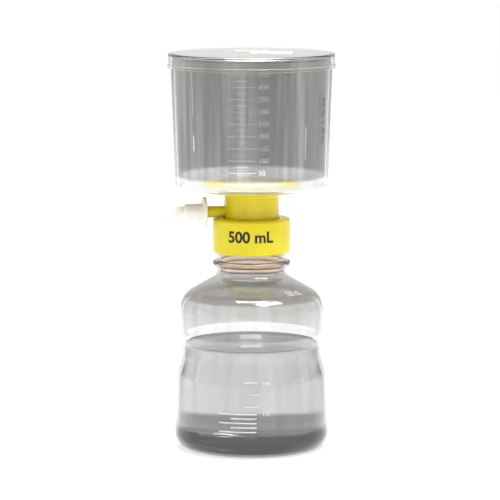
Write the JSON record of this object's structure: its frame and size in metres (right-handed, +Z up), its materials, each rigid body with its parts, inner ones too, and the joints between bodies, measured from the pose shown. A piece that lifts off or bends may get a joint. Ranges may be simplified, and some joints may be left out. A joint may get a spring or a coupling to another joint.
{
  "type": "vacuum filtration unit",
  "caption": "Disposable bottle-top vacuum filter: a clear lidded chamber over a membrane, a yellow funnel base with side arm and hose adapter, screwed onto a clear waisted receiver bottle.",
  "frame": {"origin": "centre of the ring that the bottle stands on", "axes": "+Z up the axis of the bottle and chamber; the side arm and its hose adapter point along -X"},
  "size_m": [0.104, 0.104, 0.2464],
  "materials": {
    "clear_bottle": "clear moulded, gloss",
    "liquid": "still clear water",
    "gasket": "satin",
    "lemon_plastic": "moulded, satin gloss",
    "mustard_plastic": "moulded, satin gloss",
    "porous_plug": "packed fibre",
    "ivory_plastic": "moulded, satin, slightly see-through",
    "clear_chamber": "clear moulded, gloss",
    "white_plastic": "moulded, satin",
    "membrane_film": "matt film",
    "clear_lid": "clear moulded, gloss"
  },
  "bodies": {
    "bottle": {"receiver_bottle": "clear_bottle", "filtrate": "liquid"},
    "head": {"funnel_base": "mustard_plastic", "seal_flange": "mustard_plastic", "neck_gasket": "gasket", "vent_plug": "porous_plug", "upper_chamber": "clear_chamber", "support_grid": "white_plastic", "membrane": "membrane_film"},
    "collar": {"threaded_collar": "lemon_plastic"},
    "lid": {"lid": "clear_lid"},
    "adapter": {"tubing_adapter": "ivory_plastic"}
  },
  "joints": [
    {"name": "unit_lift", "type": "slide", "parent": "bottle", "child": "head", "axis": [0, 0, 1], "range_m": [0, 0.0063]},
    {"name": "collar_turn", "type": "hinge", "parent": "head", "child": "collar", "pos_m": [0, 0, 0.1334], "axis": [0, 0, 1], "range_deg": [0, 540]},
    {"name": "lid_lift", "type": "slide", "parent": "head", "child": "lid", "axis": [0, 0, 1], "range_m": [0, 0.04]},
    {"name": "adapter_pull", "type": "slide", "parent": "head", "child": "adapter", "axis": [-1, 0, 0], "range_m": [0, 0.014]}
  ],
  "couplings": [
    {"joint": "collar_turn", "follows": "unit_lift", "rad_per_m": 1496}
  ]
}
